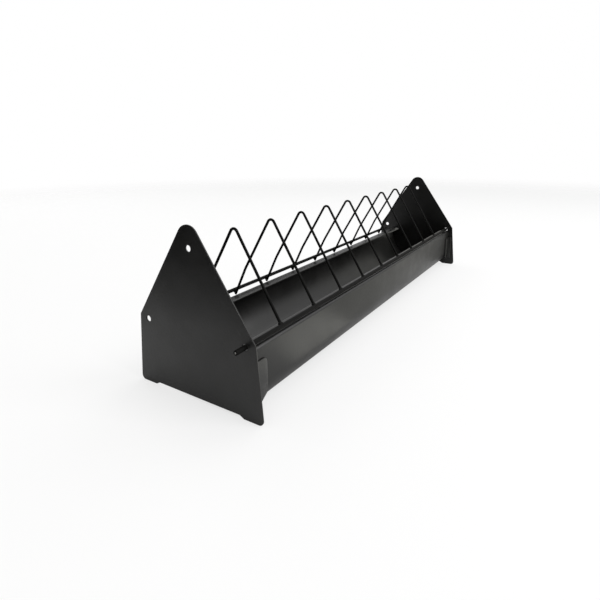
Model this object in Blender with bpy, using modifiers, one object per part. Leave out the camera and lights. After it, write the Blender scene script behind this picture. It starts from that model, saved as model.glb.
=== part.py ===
"""Sheet-steel feed trough with two house-shaped end plates and a hinged wire grille.

Metres, +Z up. X runs along the trough, and the grille's hinge is at the front, at -Y.
The origin is on the ground, under the middle of the end plates.
"""

import math

import bmesh
import bpy
from mathutils import Vector

# End plates
plate_spacing = 0.500            # outer face to outer face
plate_thickness = 0.0012
eave_width = 0.120
foot_width = 0.130
eave_height = 0.0594
ridge_height = 0.1470            # where the two roof lines would meet
ridge_radius = 0.011
eave_radius = 0.003
foot_radius = 0.004
foot_length = 0.018
foot_slope = 0.004
foot_clearance = 0.0021          # height of the edge between the two feet
hole_diameter = 0.005
hole_inset = 0.0095              # from the eave line to the two lower holes
hole_height = 0.0567
top_hole_height = 0.1210

# Trough, bent from one sheet
trough_sheet = 0.0010
trough_front = -0.0545           # outer face of the front wall
trough_rear = 0.0400             # outer face of the rear wall
trough_bottom = 0.0022
front_corner = 0.0220            # outer radius of the front bottom bend
rear_corner = 0.0390
front_rim_height = 0.0540
rear_rim_height = 0.0512
front_lip = 0.0140               # how far each rim is turned inwards
rear_lip = 0.0105
front_rim_bend = 0.0020
rear_rim_bend = 0.0016

# Angles that hold the trough to the end plates
angle_sheet = 0.0010
angle_length = 0.0165            # along the trough wall
angle_foot = 0.0050              # along the end plate
front_angle_low = 0.0105
front_angle_high = 0.0440
rear_angle_low = 0.0300          # above the wide bend of the rear wall
rear_angle_high = 0.0470
angle_bend = 0.0012
angle_top_radius = 0.0040
angle_chamfer_height = 0.0062
angle_chamfer_length = 0.0090

# Wire grille
hinge_rod_diameter = 0.0038
hinge_rod_overhang = 0.0100      # past each end plate
rear_rod_diameter = 0.0035
rear_rod_y = 0.0410
rear_rod_z = 0.0561
rear_rod_overhang = 0.0380       # past the first and the last bail
bail_count = 9
bail_pitch = 0.0490
bail_first = 0.0436              # from the left plate's outer face
bail_wire = 0.0024
bail_half_width = 0.0314         # from the crown to each knee
bail_knee_height = 0.0796
bail_crown_height = 0.1324       # where the two legs would meet
bail_crown_radius = 0.0036
bail_knee_radius = 0.0600

seat_gap = 0.0003                # between pieces that touch

hinge_y = hole_inset - eave_width / 2
hinge_z = hole_height


def clear_scene():
    for obj in list(bpy.data.objects):
        bpy.data.objects.remove(obj, do_unlink=True)


def new_collection(name):
    collection = bpy.data.collections.new(name)
    bpy.context.scene.collection.children.link(collection)
    return collection


def painted(name, color, roughness, metallic=0.0):
    material = bpy.data.materials.new(name)
    material.use_nodes = True
    shader = material.node_tree.nodes["Principled BSDF"]
    shader.inputs["Base Color"].default_value = (*color, 1.0)
    shader.inputs["Roughness"].default_value = roughness
    shader.inputs["Metallic"].default_value = metallic
    return material


def rounded(corners, closed=True, turn=15.0):
    """Points of an outline whose corners (across, up, radius) are rounded by arcs."""
    points = []
    count = len(corners)
    for index, (across, up, radius) in enumerate(corners):
        corner = Vector((across, up))
        is_end = not closed and index in (0, count - 1)
        if is_end or radius <= 0:
            points.append(corner)
            continue
        before = (Vector(corners[index - 1][:2]) - corner).normalized()
        after = (Vector(corners[(index + 1) % count][:2]) - corner).normalized()
        half_angle = before.angle(after) / 2
        middle = corner + (before + after).normalized() * radius / math.sin(half_angle)
        start = corner + before * radius / math.tan(half_angle) - middle
        sweep = start.angle_signed(corner + after * radius / math.tan(half_angle) - middle)
        steps = max(2, math.ceil(abs(math.degrees(sweep)) / turn))
        for step in range(steps + 1):
            angle = -sweep * step / steps
            cos, sin = math.cos(angle), math.sin(angle)
            points.append(middle + Vector((start.x * cos - start.y * sin, start.x * sin + start.y * cos)))
    return points


def round_hole(across, up, diameter, sides=24):
    radius = diameter / 2
    return [
        Vector((across + radius * math.cos(math.tau * i / sides), up + radius * math.sin(math.tau * i / sides)))
        for i in range(sides)
    ]


def add_spline(curve, points, closed):
    spline = curve.splines.new("POLY")
    spline.points.add(len(points) - 1)
    for target, point in zip(spline.points, points):
        target.co = (*point, *[0.0] * (3 - len(point)), 1.0)
    spline.use_cyclic_u = closed


def flat_outline(name, outlines, thickness, collection):
    """A flat sheet from closed outlines, the inner ones being holes, centred on its thickness."""
    curve = bpy.data.curves.new(name, "CURVE")
    curve.dimensions = "2D"
    curve.fill_mode = "BOTH"
    curve.extrude = thickness / 2
    for outline in outlines:
        add_spline(curve, outline, closed=True)
    obj = bpy.data.objects.new(name, curve)
    collection.objects.link(obj)
    return obj


def wire(name, points, diameter, collection):
    curve = bpy.data.curves.new(name, "CURVE")
    curve.dimensions = "3D"
    curve.bevel_depth = diameter / 2
    curve.bevel_resolution = 2
    curve.use_fill_caps = True
    add_spline(curve, points, closed=False)
    obj = bpy.data.objects.new(name, curve)
    collection.objects.link(obj)
    return obj


def bent_sheet(name, points, length, sheet, side, collection):
    """A sheet bent along the line of one face and drawn out along length, thickened to one side."""
    mesh = bpy.data.meshes.new(name)
    form = bmesh.new()
    line = [form.verts.new(point) for point in points]
    edges = [form.edges.new(pair) for pair in zip(line, line[1:])]
    drawn = bmesh.ops.extrude_edge_only(form, edges=edges)["geom"]
    far_side = [item for item in drawn if isinstance(item, bmesh.types.BMVert)]
    bmesh.ops.translate(form, verts=far_side, vec=length)
    form.to_mesh(mesh)
    form.free()
    obj = bpy.data.objects.new(name, mesh)
    collection.objects.link(obj)
    solid = obj.modifiers.new("sheet", "SOLIDIFY")
    solid.thickness = sheet
    solid.offset = side
    solid.use_even_offset = True
    return obj


def to_mesh(obj, collection):
    """The evaluated shape of a curve as a mesh object in the same place, with its caps welded."""
    depsgraph = bpy.context.evaluated_depsgraph_get()
    mesh = bpy.data.meshes.new_from_object(obj.evaluated_get(depsgraph))
    form = bmesh.new()
    form.from_mesh(mesh)
    bmesh.ops.remove_doubles(form, verts=form.verts, dist=1e-6)
    form.to_mesh(mesh)
    form.free()
    made = bpy.data.objects.new(obj.name + "_mesh", mesh)
    made.matrix_world = obj.matrix_world.copy()
    collection.objects.link(made)
    bpy.data.objects.remove(obj, do_unlink=True)
    return made


def end_plate(name, side, collection, material):
    half_eave = eave_width / 2
    half_foot = foot_width / 2
    foot_inner = half_foot - foot_length
    outline = rounded([
        (0, ridge_height, ridge_radius),
        (-half_eave, eave_height, eave_radius),
        (-half_foot, 0, foot_radius),
        (-foot_inner, 0, foot_radius / 2),
        (-foot_inner + foot_slope, foot_clearance, foot_radius / 2),
        (foot_inner - foot_slope, foot_clearance, foot_radius / 2),
        (foot_inner, 0, foot_radius / 2),
        (half_foot, 0, foot_radius),
        (half_eave, eave_height, eave_radius),
    ])
    holes = [
        round_hole(hinge_y, hole_height, hole_diameter),
        round_hole(-hinge_y, hole_height, hole_diameter),
        round_hole(0, top_hole_height, hole_diameter),
    ]
    plate = flat_outline(name, [outline, *holes], plate_thickness, collection)
    plate.rotation_euler = (math.radians(90), 0, math.radians(90))
    plate.location.x = side * (plate_spacing - plate_thickness) / 2
    plate.data.materials.append(material)
    return plate


def trough(collection, material):
    half_length = plate_spacing / 2 - plate_thickness - seat_gap
    section = rounded([
        (trough_front + front_lip, front_rim_height, 0),
        (trough_front, front_rim_height, front_rim_bend),
        (trough_front, trough_bottom, front_corner),
        (trough_rear, trough_bottom, rear_corner),
        (trough_rear, rear_rim_height, rear_rim_bend),
        (trough_rear - rear_lip, rear_rim_height, 0),
    ], closed=False)
    line = [Vector((-half_length, point.x, point.y)) for point in section]
    length = Vector((2 * half_length, 0, 0))
    body = bent_sheet("trough", line, length, trough_sheet, 1, collection)
    body.data.shade_smooth()
    body.data.materials.append(material)
    return body


def corner_angle(name, side, face, collection, cutters, material):
    """An angle between one end plate (side) and one trough wall (face is -1 at the front)."""
    if face < 0:
        wall, low, high = trough_front, front_angle_low, front_angle_high
    else:
        wall, low, high = trough_rear, rear_angle_low, rear_angle_high
    plate_inner = plate_spacing / 2 - plate_thickness - seat_gap
    wall_outer = wall + face * (seat_gap + angle_sheet)
    foot_face = side * (plate_inner - angle_sheet)
    section = rounded([
        (side * (plate_inner - angle_length), wall_outer, 0),
        (foot_face, wall_outer, angle_bend),
        (foot_face, wall_outer + face * (angle_foot - angle_sheet), 0),
    ], closed=False)
    line = [Vector((point.x, point.y, low)) for point in section]
    length = Vector((0, 0, high - low))
    angle = bent_sheet(name, line, length, angle_sheet, -side * face, collection)
    angle.data.materials.append(material)

    free_end = side * (plate_inner - angle_length)
    past_plate = side * (plate_inner + angle_sheet)
    trim_outline = rounded([
        (past_plate, low - angle_sheet, 0),
        (free_end + side * angle_chamfer_length, low - angle_sheet, 0),
        (free_end + side * angle_chamfer_length, low, 0),
        (free_end, low + angle_chamfer_height, angle_top_radius / 2),
        (free_end, high, angle_top_radius),
        (past_plate, high, 0),
    ])
    trim = flat_outline(name + "_trim", [trim_outline], 4 * angle_foot, cutters)
    trim.rotation_euler = (math.radians(90), 0, 0)
    trim.location.y = wall_outer
    bpy.context.view_layer.update()
    trim = to_mesh(trim, cutters)
    trim.hide_render = True
    trim.display_type = "WIRE"
    cut = angle.modifiers.new("trim", "BOOLEAN")
    cut.operation = "INTERSECT"
    cut.object = trim
    return angle


def straight_rod(name, start, end, across, up, diameter, collection, material, parent):
    """A rod along X; across and up are its place from the hinge axis."""
    rod = wire(name, [(start, across, up), (end, across, up)], diameter, collection)
    rod.parent = parent
    rod.data.materials.append(material)
    return rod


def bail_line():
    """Centre line of one bail as (across, up) from the hinge axis."""
    hinge = Vector((hinge_y, hinge_z))
    rear_rod = Vector((rear_rod_y, rear_rod_z))
    rear_grip = (rear_rod_diameter + bail_wire) / 2 + seat_gap
    crown_y = (hinge_y + rear_rod_y - rear_grip / 2) / 2
    front_knee = Vector((crown_y - bail_half_width, bail_knee_height))
    rear_knee = Vector((crown_y + bail_half_width, bail_knee_height))
    front_end = hinge + (front_knee - hinge).normalized() * (hinge_rod_diameter / 2 + seat_gap)

    to_rod = rear_rod - rear_knee
    lean = math.atan2(to_rod.y, to_rod.x) - math.asin(rear_grip / to_rod.length)
    fall = Vector((math.cos(lean), math.sin(lean)))
    cap_drop = bail_wire / 2 * abs(fall.x)
    end_height = rear_rim_height + seat_gap + cap_drop
    rear_end = rear_knee + fall * ((end_height - rear_knee.y) / fall.y)

    corners = [
        (*front_end, 0),
        (*front_knee, bail_knee_radius),
        (crown_y, bail_crown_height, bail_crown_radius),
        (*rear_knee, bail_knee_radius),
        (*rear_end, 0),
    ]
    return [point - hinge for point in rounded(corners, closed=False, turn=12.0)]


def bail(name, x, points, collection, material, parent):
    made = wire(name, [(0, point.x, point.y) for point in points], bail_wire, collection)
    made.parent = parent
    made.location.x = x
    made.data.materials.append(material)
    return made


def main():
    clear_scene()
    parts = new_collection("feed_trough")
    cutters = new_collection("cutters")
    sheet_paint = painted("black_sheet_paint", (0.018, 0.018, 0.017), 0.35)
    wire_paint = painted("black_wire_paint", (0.015, 0.015, 0.015), 0.4)

    end_plate("end_plate_left", -1, parts, sheet_paint)
    end_plate("end_plate_right", 1, parts, sheet_paint)
    trough(parts, sheet_paint)
    for side, side_name in ((-1, "left"), (1, "right")):
        for face, face_name in ((-1, "front"), (1, "rear")):
            corner_angle(f"angle_{side_name}_{face_name}", side, face, parts, cutters, sheet_paint)

    hinge = bpy.data.objects.new("grille_hinge", None)
    hinge.location = (0, hinge_y, hinge_z)
    parts.objects.link(hinge)
    rod_end = plate_spacing / 2 + hinge_rod_overhang
    straight_rod("hinge_rod", -rod_end, rod_end, 0, 0, hinge_rod_diameter, parts, wire_paint, hinge)
    first = bail_first - plate_spacing / 2
    last = first + bail_pitch * (bail_count - 1)
    straight_rod("rear_rod", first - rear_rod_overhang, last + rear_rod_overhang,
                 rear_rod_y - hinge_y, rear_rod_z - hinge_z, rear_rod_diameter, parts, wire_paint, hinge)
    points = bail_line()
    for index in range(bail_count):
        bail(f"bail_{index + 1}", first + bail_pitch * index, points, parts, wire_paint, hinge)


main()
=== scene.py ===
import math

import bmesh
import bpy
from mathutils import Matrix, Vector, noise


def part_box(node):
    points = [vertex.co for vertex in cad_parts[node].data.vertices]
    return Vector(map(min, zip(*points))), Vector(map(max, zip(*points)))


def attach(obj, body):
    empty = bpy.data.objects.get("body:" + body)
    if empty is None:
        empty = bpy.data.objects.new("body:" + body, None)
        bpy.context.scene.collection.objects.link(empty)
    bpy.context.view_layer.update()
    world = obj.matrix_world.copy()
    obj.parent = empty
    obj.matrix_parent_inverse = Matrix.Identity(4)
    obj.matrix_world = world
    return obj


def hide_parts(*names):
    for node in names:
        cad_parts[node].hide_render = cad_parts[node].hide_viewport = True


# Black painted feed trough with a hinged wire grille: looks, light and camera.
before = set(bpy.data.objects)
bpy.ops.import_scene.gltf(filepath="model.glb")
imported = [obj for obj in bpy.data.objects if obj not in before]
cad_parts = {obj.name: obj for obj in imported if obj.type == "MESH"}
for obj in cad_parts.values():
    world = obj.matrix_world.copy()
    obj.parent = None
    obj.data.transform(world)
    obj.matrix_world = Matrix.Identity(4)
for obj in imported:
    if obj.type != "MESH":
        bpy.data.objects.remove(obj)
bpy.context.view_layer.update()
print("frame loaded:", len(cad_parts), "nodes")

scene = bpy.context.scene
scene.view_settings.view_transform = "Standard"


# Camera

cameraSet = {
    "place": (-0.4698, -0.2420, 0.1956),
    "lookAlong": (0.8280, 0.5229, -0.2025),
    "roll": 0.40,           # degrees
    "sensor": 36,           # mm, as is the lens
    "lens": 26.92,
    "shiftX": -0.0143,
    "shiftY": -0.1085,
    "nearest": 0.01,
}


def setUpCamera():
    data = bpy.data.cameras.new("photoCamera")
    data.sensor_width = cameraSet["sensor"]
    data.lens = cameraSet["lens"]
    data.shift_x = cameraSet["shiftX"]
    data.shift_y = cameraSet["shiftY"]
    data.clip_start = cameraSet["nearest"]
    camera = bpy.data.objects.new("photoCamera", data)
    look = Vector(cameraSet["lookAlong"]).to_track_quat("-Z", "Y").to_matrix()
    roll = Matrix.Rotation(math.radians(-cameraSet["roll"]), 3, "Z")
    camera.matrix_world = Matrix.Translation(cameraSet["place"]) @ (look @ roll).to_4x4()
    scene.collection.objects.link(camera)
    scene.camera = camera


setUpCamera()
print("camera set")


# Mesh helpers

def roundCorners(corners, closed=True, turn=6.0):
    # corners are (across, up, bend radius), turn is how many degrees of a bend one step takes
    points = []
    count = len(corners)
    for index, (across, up, radius) in enumerate(corners):
        corner = Vector((across, up))
        isEnd = not closed and index in (0, count - 1)
        if isEnd or radius <= 0:
            points.append(corner)
            continue
        before = (Vector(corners[index - 1][:2]) - corner).normalized()
        after = (Vector(corners[(index + 1) % count][:2]) - corner).normalized()
        halfAngle = before.angle(after) / 2
        middle = corner + (before + after).normalized() * radius / math.sin(halfAngle)
        start = corner + before * radius / math.tan(halfAngle) - middle
        sweep = start.angle_signed(corner + after * radius / math.tan(halfAngle) - middle)
        steps = max(3, math.ceil(abs(math.degrees(sweep)) / turn))
        for step in range(steps + 1):
            angle = -sweep * step / steps
            turned = Vector((
                start.x * math.cos(angle) - start.y * math.sin(angle),
                start.x * math.sin(angle) + start.y * math.cos(angle),
            ))
            points.append(middle + turned)
    # two bends that meet share a point, which is kept once
    return [point for index, point in enumerate(points) if (point - points[index - 1]).length > 1e-6]


def signedArea(loop):
    return sum(a.x * b.y - b.x * a.y for a, b in zip(loop, loop[1:] + loop[:1])) / 2


def insetLoop(loop, distance, hole=False):
    # moves a flat closed outline inwards, or a hole's outline outwards
    sign = 1 if (signedArea(loop) > 0) != hole else -1
    moved = []
    for index, point in enumerate(loop):
        before = (point - loop[index - 1]).normalized()
        after = (loop[(index + 1) % len(loop)] - point).normalized()
        normals = [Vector((-side.y, side.x)) * sign for side in (before, after)]
        middle = (normals[0] + normals[1]).normalized()
        moved.append(point + middle * distance / max(0.5, middle.dot(normals[0])))
    return moved


def offsetLine(line, distance):
    # an open line moved to its left
    moved = []
    for index, point in enumerate(line):
        before = point - line[index - 1] if index > 0 else line[1] - line[0]
        after = line[index + 1] - point if index < len(line) - 1 else before
        before = before.normalized()
        after = after.normalized()
        left = Vector((-before.y - after.y, before.x + after.x)).normalized()
        moved.append(point + left * distance / max(0.5, left.dot(Vector((-before.y, before.x)))))
    return moved


def loftRings(form, rings):
    # skins closed rings that all have the same number of points
    made = [[form.verts.new(point) for point in ring] for ring in rings]
    for first, second in zip(made, made[1:]):
        for index in range(len(first)):
            following = (index + 1) % len(first)
            face = form.faces.new((first[index], first[following], second[following], second[index]))
            face.smooth = True
    return made


def closeFlat(form, loops):
    # fills the flat area inside the first ring and outside the others
    edges = []
    for loop in loops:
        for index, vert in enumerate(loop):
            edges.append(form.edges.get((vert, loop[(index + 1) % len(loop)])))
    filled = bmesh.ops.triangle_fill(form, use_beauty=True, edges=edges)
    for item in filled["geom"]:
        if isinstance(item, bmesh.types.BMFace):
            item.smooth = False


def pieceFrom(form, name, body, nodes, material):
    bmesh.ops.recalc_face_normals(form, faces=form.faces)
    mesh = bpy.data.meshes.new(name)
    form.to_mesh(mesh)
    form.free()
    mesh.materials.append(material)
    piece = bpy.data.objects.new(name, mesh)
    scene.collection.objects.link(piece)
    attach(piece, body)
    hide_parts(*nodes)
    return piece


def slabRings(loop, low, high, soft, place, hole=False, steps=3):
    # side of a sheet with soft edges; place turns (flat point, height) into a point
    rings = []
    for step in range(steps + 1):
        angle = math.pi / 2 * step / steps
        ring = insetLoop(loop, soft * (1 - math.sin(angle)), hole)
        rings.append([place(point, low + soft * (1 - math.cos(angle))) for point in ring])
    for step in range(steps + 1):
        angle = math.pi / 2 * (1 - step / steps)
        ring = insetLoop(loop, soft * (1 - math.sin(angle)), hole)
        rings.append([place(point, high - soft * (1 - math.cos(angle))) for point in ring])
    return rings


# Material parts

def newGroup(name, inputs, outputs):
    group = bpy.data.node_groups.new(name, "ShaderNodeTree")
    for label, kind, value in inputs:
        socket = group.interface.new_socket(name=label, in_out="INPUT", socket_type=kind)
        if value is not None:
            socket.default_value = value
    for label, kind in outputs:
        group.interface.new_socket(name=label, in_out="OUTPUT", socket_type=kind)
    entry = group.nodes.new("NodeGroupInput")
    leave = group.nodes.new("NodeGroupOutput")
    return group, entry, leave


def addNode(tree, kind, **values):
    node = tree.nodes.new(kind)
    for key, value in values.items():
        setattr(node, key, value)
    return node


def mathNode(tree, operation, first, second=None, third=None, clamp=False):
    node = addNode(tree, "ShaderNodeMath", operation=operation, use_clamp=clamp)
    for socket, value in zip(node.inputs, (first, second, third)):
        if value is None:
            continue
        if isinstance(value, (int, float)):
            socket.default_value = value
        else:
            tree.links.new(value, socket)
    return node.outputs[0]


def spread(tree, value, low, high, toLow=0.0, toHigh=1.0):
    node = addNode(tree, "ShaderNodeMapRange", interpolation_type="SMOOTHSTEP")
    tree.links.new(value, node.inputs["Value"])
    for label, number in (("From Min", low), ("From Max", high), ("To Min", toLow), ("To Max", toHigh)):
        node.inputs[label].default_value = number
    return node.outputs["Result"]


def noiseNode(tree, vector, scale, detail=2.0, rough=0.5):
    node = addNode(tree, "ShaderNodeTexNoise")
    tree.links.new(vector, node.inputs["Vector"])
    if isinstance(scale, (int, float)):
        node.inputs["Scale"].default_value = scale
    else:
        tree.links.new(scale, node.inputs["Scale"])
    node.inputs["Detail"].default_value = detail
    node.inputs["Roughness"].default_value = rough
    return node.outputs["Fac"]


def mixColours(tree, factor, first, second):
    node = addNode(tree, "ShaderNodeMix", data_type="RGBA")
    tree.links.new(factor, node.inputs[0])
    for socket, value in ((node.inputs[6], first), (node.inputs[7], second)):
        if isinstance(value, tuple):
            socket.default_value = (*value, 1.0)
        else:
            tree.links.new(value, socket)
    return node.outputs[2]


paintSkinSet = {
    "peelHeight": 0.05,
    "nibHeight": 0.03,
    "nibScale": 260.0,
    "nibSize": (0.06, 0.13),
    "nibPatchScale": 95.0,
    "nibPatch": (0.56, 0.66),       # a higher range leaves fewer nibs
    "cloudScale": 28.0,
    "cloudRange": (0.3, 0.7),
}


def makePaintSkin():
    # orange peel, slow sags and clouding of sprayed and baked paint
    values = paintSkinSet
    group, entry, leave = newGroup("paintSkin", [
        ("Vector", "NodeSocketVector", None),
        ("Peel Scale", "NodeSocketFloat", 420.0),
        ("Sag Scale", "NodeSocketFloat", 14.0),
        ("Sag Share", "NodeSocketFloat", 0.5),
    ], [
        ("Height", "NodeSocketFloat"),
        ("Clouds", "NodeSocketFloat"),
        ("Nibs", "NodeSocketFloat"),
    ])
    vector = entry.outputs["Vector"]
    peel = noiseNode(group, vector, entry.outputs["Peel Scale"], 1.0, 0.4)
    sag = noiseNode(group, vector, entry.outputs["Sag Scale"], 1.5, 0.4)
    sagPart = mathNode(group, "MULTIPLY", sag, entry.outputs["Sag Share"])
    nibField = addNode(group, "ShaderNodeTexVoronoi", feature="F1")
    group.links.new(vector, nibField.inputs["Vector"])
    nibField.inputs["Scale"].default_value = values["nibScale"]
    nibField.inputs["Randomness"].default_value = 1.0
    nibs = spread(group, nibField.outputs["Distance"], *values["nibSize"], 1.0, 0.0)
    rare = noiseNode(group, vector, values["nibPatchScale"], 1.0)
    nibs = mathNode(group, "MULTIPLY", nibs, spread(group, rare, *values["nibPatch"]))
    height = mathNode(group, "ADD", mathNode(group, "MULTIPLY", peel, values["peelHeight"]), sagPart)
    height = mathNode(group, "MULTIPLY_ADD", nibs, values["nibHeight"], height)
    clouds = noiseNode(group, vector, values["cloudScale"], 4.0, 0.6)
    group.links.new(height, leave.inputs["Height"])
    group.links.new(spread(group, clouds, *values["cloudRange"]), leave.inputs["Clouds"])
    group.links.new(nibs, leave.inputs["Nibs"])
    return group


paintedEdgeHighlightSet = {
    "edge": (0.53, 0.62),           # how sharp an edge has to be
    "patchScale": 160.0,
    "patch": (0.48, 0.7),
}


def makePaintedEdgeHighlight():
    # a lighter colour in patches on convex edges: a painted highlight along them
    values = paintedEdgeHighlightSet
    group, entry, leave = newGroup("paintedEdgeHighlight", [
        ("Vector", "NodeSocketVector", None),
        ("Amount", "NodeSocketFloat", 0.5),
    ], [("Mask", "NodeSocketFloat")])
    shape = addNode(group, "ShaderNodeNewGeometry")
    edge = spread(group, shape.outputs["Pointiness"], *values["edge"])
    patch = noiseNode(group, entry.outputs["Vector"], values["patchScale"], 3.0, 0.65)
    patch = spread(group, patch, *values["patch"])
    mask = mathNode(group, "MULTIPLY", edge, patch)
    mask = mathNode(group, "MULTIPLY", mask, entry.outputs["Amount"], clamp=True)
    group.links.new(mask, leave.inputs["Mask"])
    return group


dustSet = {
    "facing": (0.2, 1.0),
    "onSides": 0.15,                # what faces that don't look up still get
    "fineScale": 900.0,
    "fine": (0.5, 0.75),
    "broadScale": 22.0,
    "broad": (0.35, 0.75),
}


def makeDustFall():
    # fine dust that lies on faces that look up
    values = dustSet
    group, entry, leave = newGroup("dustFall", [
        ("Vector", "NodeSocketVector", None),
        ("Amount", "NodeSocketFloat", 0.5),
    ], [("Mask", "NodeSocketFloat")])
    shape = addNode(group, "ShaderNodeNewGeometry")
    parts = addNode(group, "ShaderNodeSeparateXYZ")
    group.links.new(shape.outputs["Normal"], parts.inputs[0])
    facing = spread(group, parts.outputs["Z"], *values["facing"], values["onSides"], 1.0)
    vector = entry.outputs["Vector"]
    fine = spread(group, noiseNode(group, vector, values["fineScale"], 2.0, 0.7), *values["fine"])
    broad = spread(group, noiseNode(group, vector, values["broadScale"], 3.0, 0.6), *values["broad"])
    mask = mathNode(group, "MULTIPLY", mathNode(group, "MULTIPLY", fine, broad), facing)
    mask = mathNode(group, "MULTIPLY", mask, entry.outputs["Amount"], clamp=True)
    group.links.new(mask, leave.inputs["Mask"])
    return group


paintSkin = makePaintSkin()
paintedEdgeHighlight = makePaintedEdgeHighlight()
dustFall = makeDustFall()


def placeGroup(tree, group, vector, **values):
    node = addNode(tree, "ShaderNodeGroup", node_tree=group)
    tree.links.new(vector, node.inputs["Vector"])
    for label, value in values.items():
        node.inputs[label.replace("_", " ")].default_value = value
    return node


def makeBlackPaint(name, looks):
    material = bpy.data.materials.new(name)
    material.use_nodes = True
    tree = material.node_tree
    shader = tree.nodes["Principled BSDF"]
    coords = addNode(tree, "ShaderNodeTexCoord").outputs["Object"]
    skin = placeGroup(tree, paintSkin, coords, Peel_Scale=looks["peelScale"],
                      Sag_Scale=looks["sagScale"], Sag_Share=looks["sagShare"])
    edgeHighlight = placeGroup(tree, paintedEdgeHighlight, coords, Amount=looks["edgeHighlight"])
    dust = placeGroup(tree, dustFall, coords, Amount=looks["dust"])
    colour = mixColours(tree, skin.outputs["Clouds"], looks["colour"], looks["colourPale"])
    colour = mixColours(tree, dust.outputs["Mask"], colour, looks["dustColour"])
    # sharp edges get a lighter colour, a painted highlight
    colour = mixColours(tree, edgeHighlight.outputs["Mask"], colour, looks["edgeHighlightColour"])
    tree.links.new(colour, shader.inputs["Base Color"])
    low, high = looks["roughness"]
    rough = spread(tree, skin.outputs["Clouds"], 0.0, 1.0, low, high)
    rough = mathNode(tree, "MULTIPLY_ADD", dust.outputs["Mask"], looks["dustDulls"], rough)
    rough = mathNode(tree, "MULTIPLY_ADD", skin.outputs["Nibs"], looks["nibDulls"], rough, clamp=True)
    tree.links.new(rough, shader.inputs["Roughness"])
    bump = addNode(tree, "ShaderNodeBump")
    bump.inputs["Strength"].default_value = 1.0
    bump.inputs["Distance"].default_value = looks["bump"]
    tree.links.new(skin.outputs["Height"], bump.inputs["Height"])
    tree.links.new(bump.outputs["Normal"], shader.inputs["Normal"])
    shader.inputs["IOR"].default_value = looks["ior"]
    shader.inputs["Specular IOR Level"].default_value = looks["specular"]
    return material


sheetPaintLooks = {
    "colour": (0.0048, 0.0047, 0.0044),
    "colourPale": (0.0074, 0.0072, 0.0067),
    "dustColour": (0.16, 0.155, 0.14),
    # the lighter colour of the painted highlight on sharp edges
    "edgeHighlightColour": (0.075, 0.074, 0.070),
    "roughness": (0.35, 0.42),
    "peelScale": 520.0,
    "sagScale": 16.0,
    "sagShare": 0.9,
    "bump": 0.0009,
    "edgeHighlight": 0.25,
    "dust": 0.12,
    "dustDulls": 0.35,      # added to the roughness
    "nibDulls": 0.1,
    "ior": 1.45,
    "specular": 0.5,
}
wirePaintLooks = {
    "colour": (0.0045, 0.0045, 0.0044),
    "colourPale": (0.0070, 0.0070, 0.0066),
    "dustColour": (0.16, 0.155, 0.14),
    "edgeHighlightColour": (0.060, 0.059, 0.056),
    "roughness": (0.45, 0.55),
    "peelScale": 900.0,
    "sagScale": 120.0,
    "sagShare": 0.25,
    "bump": 0.0006,
    "edgeHighlight": 0.0,
    "dust": 0.06,
    "dustDulls": 0.35,
    "nibDulls": 0.1,
    "ior": 1.35,
    "specular": 0.08,
}
sheetPaint = makeBlackPaint("blackSheetPaint", sheetPaintLooks)
wirePaint = makeBlackPaint("blackWirePaint", wirePaintLooks)


cutSteelLooks = {
    "colour": (0.42, 0.41, 0.39),
    "colourPale": (0.62, 0.61, 0.58),
    "roughness": (0.28, 0.42),
    "sawScale": 2600.0,
    "sawBend": 3.0,
    "sawDepth": 0.00008,
    "peelScale": 1500.0,
    "sagScale": 300.0,
    "sagShare": 0.4,
}


def makeCutSteel():
    # bare end of a sawn rod, with the saw's fine lines
    looks = cutSteelLooks
    material = bpy.data.materials.new("cutSteel")
    material.use_nodes = True
    tree = material.node_tree
    shader = tree.nodes["Principled BSDF"]
    coords = addNode(tree, "ShaderNodeTexCoord").outputs["Object"]
    lines = addNode(tree, "ShaderNodeTexWave", wave_type="BANDS", bands_direction="Y")
    tree.links.new(coords, lines.inputs["Vector"])
    lines.inputs["Scale"].default_value = looks["sawScale"]
    lines.inputs["Distortion"].default_value = looks["sawBend"]
    skin = placeGroup(tree, paintSkin, coords, Peel_Scale=looks["peelScale"],
                      Sag_Scale=looks["sagScale"], Sag_Share=looks["sagShare"])
    colour = mixColours(tree, skin.outputs["Clouds"], looks["colour"], looks["colourPale"])
    tree.links.new(colour, shader.inputs["Base Color"])
    low, high = looks["roughness"]
    tree.links.new(spread(tree, lines.outputs["Fac"], 0.0, 1.0, low, high), shader.inputs["Roughness"])
    bump = addNode(tree, "ShaderNodeBump")
    bump.inputs["Distance"].default_value = looks["sawDepth"]
    tree.links.new(lines.outputs["Fac"], bump.inputs["Height"])
    tree.links.new(bump.outputs["Normal"], shader.inputs["Normal"])
    shader.inputs["Metallic"].default_value = 1.0
    return material


cutSteel = makeCutSteel()
print("materials made")


# End plates, stamped from sheet

plateSet = {
    "eaveWidth": 0.120,
    "footWidth": 0.130,
    "eaveHeight": 0.0594,
    "ridgeHeight": 0.1470,      # where the roof lines would meet
    "ridgeRadius": 0.011,
    "eaveRadius": 0.003,
    "footRadius": 0.004,
    "footLength": 0.018,
    "footSlope": 0.004,
    "footClearance": 0.0021,
    "holeDiameter": 0.005,
    "lowHole": (0.0505, 0.0567),
    "topHole": (0.0, 0.1210),
    "holeSides": 48,
    "softEdge": 0.00025,
}


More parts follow.
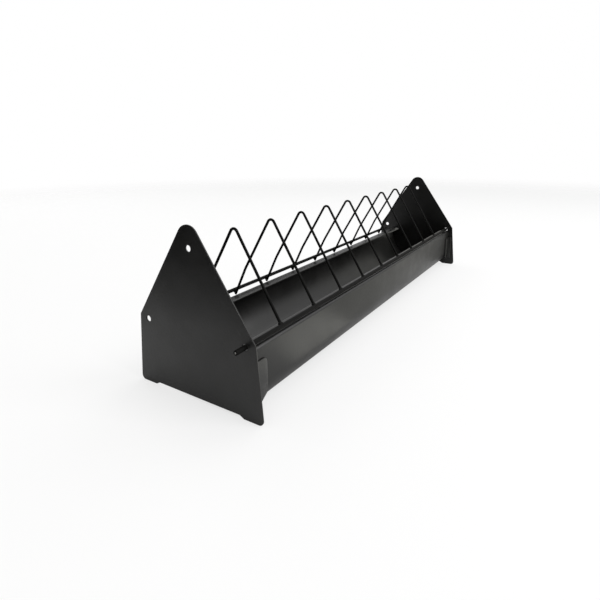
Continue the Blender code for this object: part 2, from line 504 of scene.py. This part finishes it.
def makePlate(node):
    low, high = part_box(node)
    halfEave = plateSet["eaveWidth"] / 2
    halfFoot = plateSet["footWidth"] / 2
    footInner = halfFoot - plateSet["footLength"]
    slope = plateSet["footSlope"]
    clear = plateSet["footClearance"]
    radius = plateSet["footRadius"]
    outline = roundCorners([
        (0, plateSet["ridgeHeight"], plateSet["ridgeRadius"]),
        (-halfEave, plateSet["eaveHeight"], plateSet["eaveRadius"]),
        (-halfFoot, 0, radius),
        (-footInner, 0, radius / 2),
        (-footInner + slope, clear, radius / 2),
        (footInner - slope, clear, radius / 2),
        (footInner, 0, radius / 2),
        (halfFoot, 0, radius),
        (halfEave, plateSet["eaveHeight"], plateSet["eaveRadius"]),
    ])
    across, up = plateSet["lowHole"]
    holeRadius = plateSet["holeDiameter"] / 2
    sides = plateSet["holeSides"]
    holes = []
    for holeAcross, holeUp in ((-across, up), (across, up), plateSet["topHole"]):
        holes.append([
            Vector((
                holeAcross + holeRadius * math.cos(math.tau * turn / sides),
                holeUp + holeRadius * math.sin(math.tau * turn / sides),
            ))
            for turn in range(sides)
        ])

    def place(point, depth):
        return Vector((depth, point.x, point.y))

    form = bmesh.new()
    ends = []
    for index, loop in enumerate([outline, *holes]):
        rings = slabRings(loop, low.x, high.x, plateSet["softEdge"], place, hole=index > 0)
        made = loftRings(form, rings)
        ends.append((made[0], made[-1]))
    closeFlat(form, [pair[0] for pair in ends])
    closeFlat(form, [pair[1] for pair in ends])
    pieceFrom(form, node + "_sheet", "trough_body", [node], sheetPaint)


for plateNode in ("end_plate_left", "end_plate_right"):
    makePlate(plateNode)
print("end plates made")


# Trough, bent from one sheet

troughSet = {
    "sheet": 0.0010,
    "front": -0.0545,           # outer face
    "rear": 0.0400,
    "bottom": 0.0022,
    "frontCorner": 0.0220,
    "rearCorner": 0.0390,
    "frontRim": 0.0540,
    "rearRim": 0.0512,
    "frontLip": 0.0140,
    "rearLip": 0.0105,
    "frontBend": 0.0020,
    "rearBend": 0.0016,
    "hemRadius": 0.0012,        # each lip's edge is folded under
    "hemLength": 0.0045,
    "lipSteps": 9,              # round a lip's end
    "softEdge": 0.0002,
}


def makeTrough():
    low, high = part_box("trough")
    values = troughSet
    hem = values["hemRadius"]
    frontEdge = values["front"] + values["frontLip"]
    rearEdge = values["rear"] - values["rearLip"]
    outer = roundCorners([
        (frontEdge - values["hemLength"], values["frontRim"] - 2 * hem, 0),
        (frontEdge, values["frontRim"] - 2 * hem, hem),
        (frontEdge, values["frontRim"], hem),
        (values["front"], values["frontRim"], values["frontBend"]),
        (values["front"], values["bottom"], values["frontCorner"]),
        (values["rear"], values["bottom"], values["rearCorner"]),
        (values["rear"], values["rearRim"], values["rearBend"]),
        (rearEdge, values["rearRim"], hem),
        (rearEdge, values["rearRim"] - 2 * hem, hem),
        (rearEdge + values["hemLength"], values["rearRim"] - 2 * hem, 0),
    ], closed=False, turn=4.0)
    inner = offsetLine(outer, values["sheet"])
    half = values["sheet"] / 2
    steps = values["lipSteps"]
    section = []
    for line, start, end in ((outer, inner[0], outer[0]), (inner[::-1], outer[-1], inner[-1])):
        # each lip ends in a half round of the sheet's thickness
        middle = (start + end) / 2
        along = (line[1] - line[0]).normalized()
        across = (end - middle).normalized()
        for step in range(1, steps):
            angle = math.pi * step / steps
            section.append(middle + along * half * (1 - math.sin(angle)) - across * half * math.cos(angle))
        section.append(line[0] + along * half)
        section += line[1:-1]
        section.append(line[-1] - (line[-1] - line[-2]).normalized() * half)

    def place(point, along):
        return Vector((along, point.x, point.y))

    form = bmesh.new()
    rings = slabRings(section, low.x, high.x, values["softEdge"], place, steps=2)
    made = loftRings(form, rings)
    closeFlat(form, [made[0]])
    closeFlat(form, [made[-1]])
    pieceFrom(form, "trough_sheet", "trough_body", ["trough"], sheetPaint)


makeTrough()
print("trough made")


# Angles between trough walls and end plates

angleSet = {
    "sheet": 0.0010,
    "bend": 0.0012,
    "topRadius": 0.0040,
    "chamferHeight": 0.0062,
    "chamferLength": 0.0090,
    "wallSteps": 24,            # rings along the trough wall
    "cornerSteps": 3,
    "softEdge": 0.0002,
}


def angleHeights(along, low, high):
    # lowest and highest edge of the tab at this distance from its free end
    values = angleSet
    if along < values["chamferLength"]:
        low += values["chamferHeight"] * (1 - along / values["chamferLength"])
    radius = values["topRadius"]
    if along < radius:
        high -= radius - math.sqrt(max(0.0, radius ** 2 - (radius - along) ** 2))
    return low, high


def makeAngle(node, side, face):
    values = angleSet
    low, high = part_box(node)
    sheet = values["sheet"]
    plateFace = high.x if side > 0 else low.x
    freeEnd = low.x if side > 0 else high.x
    wallFace = high.y if face < 0 else low.y        # the face that lies on the trough wall
    middle = wallFace + face * sheet / 2
    footMiddle = plateFace - side * sheet / 2
    footEnd = low.y if face < 0 else high.y
    line = roundCorners([
        (freeEnd, middle, 0),
        (footMiddle, middle, values["bend"]),
        (footMiddle, footEnd, 0),
    ], closed=False, turn=10.0)
    steps = values["wallSteps"]
    fine = [line[0] + (line[1] - line[0]) * step / steps for step in range(steps)] + line[1:]
    rings = []
    along = 0.0
    for index, point in enumerate(fine):
        before = point - fine[index - 1] if index else fine[1] - fine[0]
        after = fine[index + 1] - point if index < len(fine) - 1 else before
        along += before.length if index else 0.0
        tangent = (before.normalized() + after.normalized()).normalized()
        across = Vector((-tangent.y, tangent.x))
        bottom, top = angleHeights(along, low.z, high.z)
        soft = values["softEdge"]
        ring = []
        for cornerAcross, cornerUp, turn in ((1, top, 0), (-1, top, 1), (-1, bottom, 2), (1, bottom, 3)):
            for step in range(values["cornerSteps"] + 1):
                angle = math.pi / 2 * (turn + step / values["cornerSteps"])
                offset = cornerAcross * (sheet / 2 - soft) + soft * math.cos(angle)
                height = cornerUp - math.copysign(soft, cornerUp - (top + bottom) / 2)
                flat = point + across * offset
                ring.append(Vector((flat.x, flat.y, height + soft * math.sin(angle))))
        rings.append(ring)
    form = bmesh.new()
    made = loftRings(form, rings)
    closeFlat(form, [made[0]])
    closeFlat(form, [made[-1]])
    pieceFrom(form, node + "_sheet", "trough_body", [node], sheetPaint)


for side, sideName in ((-1, "left"), (1, "right")):
    for face, faceName in ((-1, "front"), (1, "rear")):
        makeAngle(f"angle_{sideName}_{faceName}", side, face)
print("angles made")


# Wire grille

grilleSet = {
    "hingeY": -0.0505,
    "hingeZ": 0.0567,
    "hingeRod": 0.0038,
    "rearRod": 0.0035,
    "rearRodY": 0.0410,
    "rearRodZ": 0.0561,
    "bailWire": 0.0024,
    "bailFirst": -0.2064,
    "bailPitch": 0.0490,
    "bailCount": 9,
    "halfWidth": 0.0314,
    "kneeHeight": 0.0796,
    "crownHeight": 0.1324,
    "crownRadius": 0.0036,
    "kneeRadius": 0.0600,
    "seatHeight": 0.0512,       # the trough's rear lip
    "gap": 0.0003,
    "beadLong": 0.0024,
    "beadWide": 0.0016,
    "beadLump": 0.16,
    "beadLumpScale": 1.7,
    "beadProud": 0.0002,        # how far the front bead stands off the hinge rod
    "rodSteps": 40,
    "rodSides": 32,
    "roundEnd": 0.0005,
    "endSteps": 4,
    "bareEnd": 0.0007,          # radius of the bare steel in a rod's end
}


def ringRound(centre, first, second, radius, sides):
    turns = [math.tau * turn / sides for turn in range(sides)]
    return [centre + (first * math.cos(turn) + second * math.sin(turn)) * radius for turn in turns]


def sweepWire(form, points, radius, sides=20, roundEnd=0.0, bareRadius=0.0):
    # a round wire along points that lie in one plane across X, or along X itself
    sideways = Vector((1, 0, 0))
    rings = []
    path = []
    count = len(points)
    for index, point in enumerate(points):
        before = points[index] - points[index - 1] if index else points[1] - points[0]
        after = points[index + 1] - points[index] if index < count - 1 else before
        path.append((point, (before.normalized() + after.normalized()).normalized()))
    first, firstWay = path[0]
    last, lastWay = path[-1]
    steps = grilleSet["endSteps"]
    line = []
    if roundEnd:
        for step in range(steps):
            angle = math.pi / 2 * step / steps
            line.append((first + firstWay * roundEnd * (1 - math.cos(angle)), firstWay,
                         radius - roundEnd * (1 - math.sin(angle))))
        path[0] = (first + firstWay * roundEnd, firstWay)
        path[-1] = (last - lastWay * roundEnd, lastWay)
    for point, way in path:
        line.append((point, way, radius))
    if roundEnd:
        for step in range(steps - 1, -1, -1):
            angle = math.pi / 2 * step / steps
            line.append((last - lastWay * roundEnd * (1 - math.cos(angle)), lastWay,
                         radius - roundEnd * (1 - math.sin(angle))))
    if bareRadius:
        line.insert(0, (line[0][0], line[0][1], bareRadius))
        line.append((line[-1][0], line[-1][1], bareRadius))
    for point, way, grown in line:
        across = sideways if abs(way.x) < 0.5 else Vector((0, 1, 0))
        rings.append(ringRound(point, across, way.cross(across).normalized(), grown, sides))
    made = loftRings(form, rings)
    closeFlat(form, [made[0]])
    closeFlat(form, [made[-1]])


def weldBead(form, centre, along, outward, seed):
    # a small lumpy bead that bridges a bail and a rod, under the paint
    values = grilleSet
    third = along.cross(outward).normalized()
    made = bmesh.ops.create_icosphere(form, subdivisions=3, radius=1.0)
    ownLumps = Vector((seed * 3.1, seed * 1.7, 5.0))
    for vert in made["verts"]:
        lump = 1 + values["beadLump"] * noise.noise(vert.co * values["beadLumpScale"] + ownLumps)
        local = vert.co * lump
        vert.co = (
            centre
            + along * local.x * values["beadLong"]
            + outward * local.y * values["beadWide"]
            + third * local.z * values["beadWide"]
        )
    for face in {face for vert in made["verts"] for face in vert.link_faces}:
        face.smooth = True


def bailPoints():
    values = grilleSet
    hinge = Vector((values["hingeY"], values["hingeZ"]))
    rearRod = Vector((values["rearRodY"], values["rearRodZ"]))
    grip = (values["rearRod"] + values["bailWire"]) / 2 + values["gap"]
    crownY = (values["hingeY"] + values["rearRodY"] - grip / 2) / 2
    frontKnee = Vector((crownY - values["halfWidth"], values["kneeHeight"]))
    rearKnee = Vector((crownY + values["halfWidth"], values["kneeHeight"]))
    frontEnd = hinge + (frontKnee - hinge).normalized() * (values["hingeRod"] / 2)
    toRod = rearRod - rearKnee
    lean = math.atan2(toRod.y, toRod.x) - math.asin(grip / toRod.length)
    fall = Vector((math.cos(lean), math.sin(lean)))
    endHeight = values["seatHeight"] + values["gap"] + values["bailWire"] / 2 * abs(fall.x)
    rearEnd = rearKnee + fall * ((endHeight - rearKnee.y) / fall.y)
    corners = [
        (*frontEnd, 0),
        (*frontKnee, values["kneeRadius"]),
        (crownY, values["crownHeight"], values["crownRadius"]),
        (*rearKnee, values["kneeRadius"]),
        (*rearEnd, 0),
    ]
    return roundCorners(corners, closed=False, turn=5.0), fall


def makeBail(number):
    values = grilleSet
    node = f"bail_{number}"
    x = values["bailFirst"] + values["bailPitch"] * (number - 1)
    points, fall = bailPoints()
    line = [Vector((x, point.x, point.y)) for point in points]
    form = bmesh.new()
    sweepWire(form, line, values["bailWire"] / 2, roundEnd=values["roundEnd"])
    way = (line[1] - line[0]).normalized()
    hinge = Vector((x, values["hingeY"], values["hingeZ"]))
    sideways = Vector((1, 0, 0))
    weldBead(form, hinge + way * (values["hingeRod"] / 2 + values["beadProud"]), sideways, way, number)
    rod = Vector((x, values["rearRodY"], values["rearRodZ"]))
    away = Vector((0, fall.y, -fall.x))
    down = Vector((0, fall.x, fall.y))
    weldBead(form, rod + away * values["rearRod"] / 2, down, sideways, number + 20)
    pieceFrom(form, node + "_wire", "grille", [node], wirePaint)


def makeRod(node, y, z, diameter):
    low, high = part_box(node)
    form = bmesh.new()
    steps = grilleSet["rodSteps"]
    stations = [low.x + (high.x - low.x) * step / steps for step in range(1, steps)]
    line = [Vector((x, y, z)) for x in (low.x, *stations, high.x)]
    bare = grilleSet["bareEnd"]
    sweepWire(form, line, diameter / 2, sides=grilleSet["rodSides"], roundEnd=grilleSet["roundEnd"],
              bareRadius=bare)
    piece = pieceFrom(form, node + "_wire", "grille", [node], wirePaint)
    # the middle of each sawn end has no paint
    piece.data.materials.append(cutSteel)
    axis = Vector((0, y, z))
    for polygon in piece.data.polygons:
        offset = polygon.center - axis
        offset.x = 0
        if abs(polygon.normal.x) > 0.9 and offset.length < bare:
            polygon.material_index = 1


for bailNumber in range(1, grilleSet["bailCount"] + 1):
    makeBail(bailNumber)
makeRod("hinge_rod", grilleSet["hingeY"], grilleSet["hingeZ"], grilleSet["hingeRod"])
makeRod("rear_rod", grilleSet["rearRodY"], grilleSet["rearRodZ"], grilleSet["rearRod"])
print("grille made")


# Floor, lamps, and cards that paint light and shade into reflections

stageSet = {
    "floorRadius": 2.2,
    "floorSides": 96,
    "floorRough": 0.9,
    "floorSpecular": 0.1,
    "floorGrain": 40.0,
    "floorMottle": 0.99,            # level of the grain's darker spots
    "floorFade": (0.30, 0.98),      # share of the radius over which the floor fades out
    "floorColour": (0.86, 0.86, 0.855),
    "floorWhite": 0.7,              # share of plain white that the camera sees on the floor
    "floorGloss": 0.10,             # the same in reflections
    "worldLevel": 0.55,
    "lamps": {
        # place, size and power
        "keyLamp": ((0.10, -1.50, 1.35), 1.1, 24.0),
        "topLamp": ((0.55, -0.05, 1.30), 0.9, 4.0),
        "backLamp": ((0.20, 1.50, 1.10), 1.1, 8.0),
    },
    "cardColour": (1.0, 1.0, 0.94, 1.0),
    "cards": (
        # corner, two sides and level of cards that only the paint's gloss meets, on their front: a level of
        # 0 paints shade into the reflections, a higher level paints light into them
        ((-0.40, -0.60, 0.002), (0, 2.0, 0), (0, 0, 1.3), 0.0),             # painted shade in reflections, for the dark room on the left
        ((-0.15, 0.075, 0.002), (0, 0.325, 0), (0, 0, 0.138), 0.0),         # painted shade in reflections: the object's shadow on the floor behind it
        ((0.17, -0.20, 0.002), (0, 0.134, 0), (0, 0, 0.048), 0.0),          # painted shade in reflections: the contact shadow near the far foot
        ((0.258, -0.066, 0.002), (0, -0.174, 0), (0, 0, 0.138), 0.55),      # painted light in the reflections on the far end of the front wall
        ((-0.17, -0.45, 0.0015), (0.11, 0, 0), (0, 0.37, 0), 2.1),          # painted reflection of a lit floor in front, near part
        ((-0.06, -0.45, 0.0015), (0.31, 0, 0), (0, 0.37, 0), 0.8),          # painted reflection of a lit floor in front, far part
        ((0.247, 0.035, 0.035), (0, -0.080, 0), (0, 0, 0.090), 0.55),       # painted light in the reflections inside the trough, at the far plate
    ),
}


def makeFloor():
    form = bmesh.new()
    radius = stageSet["floorRadius"]
    bmesh.ops.create_circle(form, cap_ends=True, segments=stageSet["floorSides"], radius=radius)
    mesh = bpy.data.meshes.new("floor")
    form.to_mesh(mesh)
    form.free()
    floor = bpy.data.objects.new("floor", mesh)
    scene.collection.objects.link(floor)
    material = bpy.data.materials.new("paleFloor")
    material.use_nodes = True
    tree = material.node_tree
    shader = tree.nodes["Principled BSDF"]
    shader.inputs["Roughness"].default_value = stageSet["floorRough"]
    shader.inputs["Specular IOR Level"].default_value = stageSet["floorSpecular"]
    coords = addNode(tree, "ShaderNodeTexCoord").outputs["Object"]
    grain = noiseNode(tree, coords, stageSet["floorGrain"], 3.0)
    pale = stageSet["floorColour"]
    duller = tuple(value * stageSet["floorMottle"] for value in pale)
    tree.links.new(mixColours(tree, grain, pale, duller), shader.inputs["Base Color"])
    length = addNode(tree, "ShaderNodeVectorMath", operation="LENGTH")
    tree.links.new(coords, length.inputs[0])
    start, end = (share * radius for share in stageSet["floorFade"])
    fade = spread(tree, length.outputs["Value"], start, end, 1.0, 0.0)
    tree.links.new(fade, shader.inputs["Alpha"])
    white = addNode(tree, "ShaderNodeEmission")
    white.inputs["Strength"].default_value = 1.0
    rays = addNode(tree, "ShaderNodeLightPath")
    mirrored = mathNode(tree, "MAXIMUM", rays.outputs["Is Glossy Ray"], rays.outputs["Is Transmission Ray"])
    share = mathNode(tree, "MULTIPLY", rays.outputs["Is Camera Ray"], stageSet["floorWhite"])
    share = mathNode(tree, "MULTIPLY_ADD", mirrored, stageSet["floorGloss"], share)
    share = mathNode(tree, "MULTIPLY", share, fade)
    mix = addNode(tree, "ShaderNodeMixShader")
    tree.links.new(share, mix.inputs[0])
    tree.links.new(shader.outputs[0], mix.inputs[1])
    tree.links.new(white.outputs[0], mix.inputs[2])
    tree.links.new(mix.outputs[0], tree.nodes["Material Output"].inputs["Surface"])
    mesh.materials.append(material)


def makeCard(name, corner, first, second, level):
    corner, first, second = (Vector(value) for value in (corner, first, second))
    form = bmesh.new()
    corners = (corner, corner + first, corner + first + second, corner + second)
    form.faces.new([form.verts.new(point) for point in corners])
    mesh = bpy.data.meshes.new(name)
    form.to_mesh(mesh)
    form.free()
    card = bpy.data.objects.new(name, mesh)
    scene.collection.objects.link(card)
    card.visible_camera = False
    card.visible_diffuse = False
    card.visible_shadow = False
    card.visible_transmission = False
    material = bpy.data.materials.new(name + "Plain")
    material.use_nodes = True
    tree = material.node_tree
    tree.nodes.clear()
    # a card's front glows at its level, seen only in reflections: painted light, or painted shade at level
    # 0
    plain = addNode(tree, "ShaderNodeEmission")
    plain.inputs["Color"].default_value = stageSet["cardColour"]
    plain.inputs["Strength"].default_value = level
    clear = addNode(tree, "ShaderNodeBsdfTransparent")
    mix = addNode(tree, "ShaderNodeMixShader")
    tree.links.new(addNode(tree, "ShaderNodeNewGeometry").outputs["Backfacing"], mix.inputs[0])
    tree.links.new(plain.outputs[0], mix.inputs[1])
    tree.links.new(clear.outputs[0], mix.inputs[2])
    output = addNode(tree, "ShaderNodeOutputMaterial")
    tree.links.new(mix.outputs[0], output.inputs["Surface"])
    mesh.materials.append(material)


def addLamp(name, place, size, power):
    data = bpy.data.lights.new(name, "AREA")
    data.shape = "SQUARE"
    data.size = size
    data.energy = power
    lamp = bpy.data.objects.new(name, data)
    lamp.location = place
    lamp.rotation_euler = (-Vector(place)).to_track_quat("-Z", "Y").to_euler()
    lamp.visible_camera = False
    scene.collection.objects.link(lamp)


def makeWorld():
    world = bpy.data.worlds.new("studio")
    scene.world = world
    world.use_nodes = True
    tree = world.node_tree
    tree.nodes.clear()
    dim = addNode(tree, "ShaderNodeBackground")
    dim.inputs["Color"].default_value = (1, 1, 1, 1)
    dim.inputs["Strength"].default_value = stageSet["worldLevel"]
    white = addNode(tree, "ShaderNodeBackground")
    white.inputs["Color"].default_value = (1, 1, 1, 1)
    white.inputs["Strength"].default_value = 1.0
    rays = addNode(tree, "ShaderNodeLightPath")
    seen = mathNode(tree, "MAXIMUM", rays.outputs["Is Camera Ray"], rays.outputs["Is Glossy Ray"])
    seen = mathNode(tree, "MAXIMUM", seen, rays.outputs["Is Transmission Ray"])
    mix = addNode(tree, "ShaderNodeMixShader")
    tree.links.new(seen, mix.inputs[0])
    tree.links.new(dim.outputs[0], mix.inputs[1])
    tree.links.new(white.outputs[0], mix.inputs[2])
    output = addNode(tree, "ShaderNodeOutputWorld")
    tree.links.new(mix.outputs[0], output.inputs["Surface"])


makeFloor()
for cardNumber, cardValues in enumerate(stageSet["cards"], 1):
    makeCard(f"card{cardNumber}", *cardValues)
makeWorld()
for lampName, (lampPlace, lampSize, lampPower) in stageSet["lamps"].items():
    addLamp(lampName, lampPlace, lampSize, lampPower)
print("stage made")
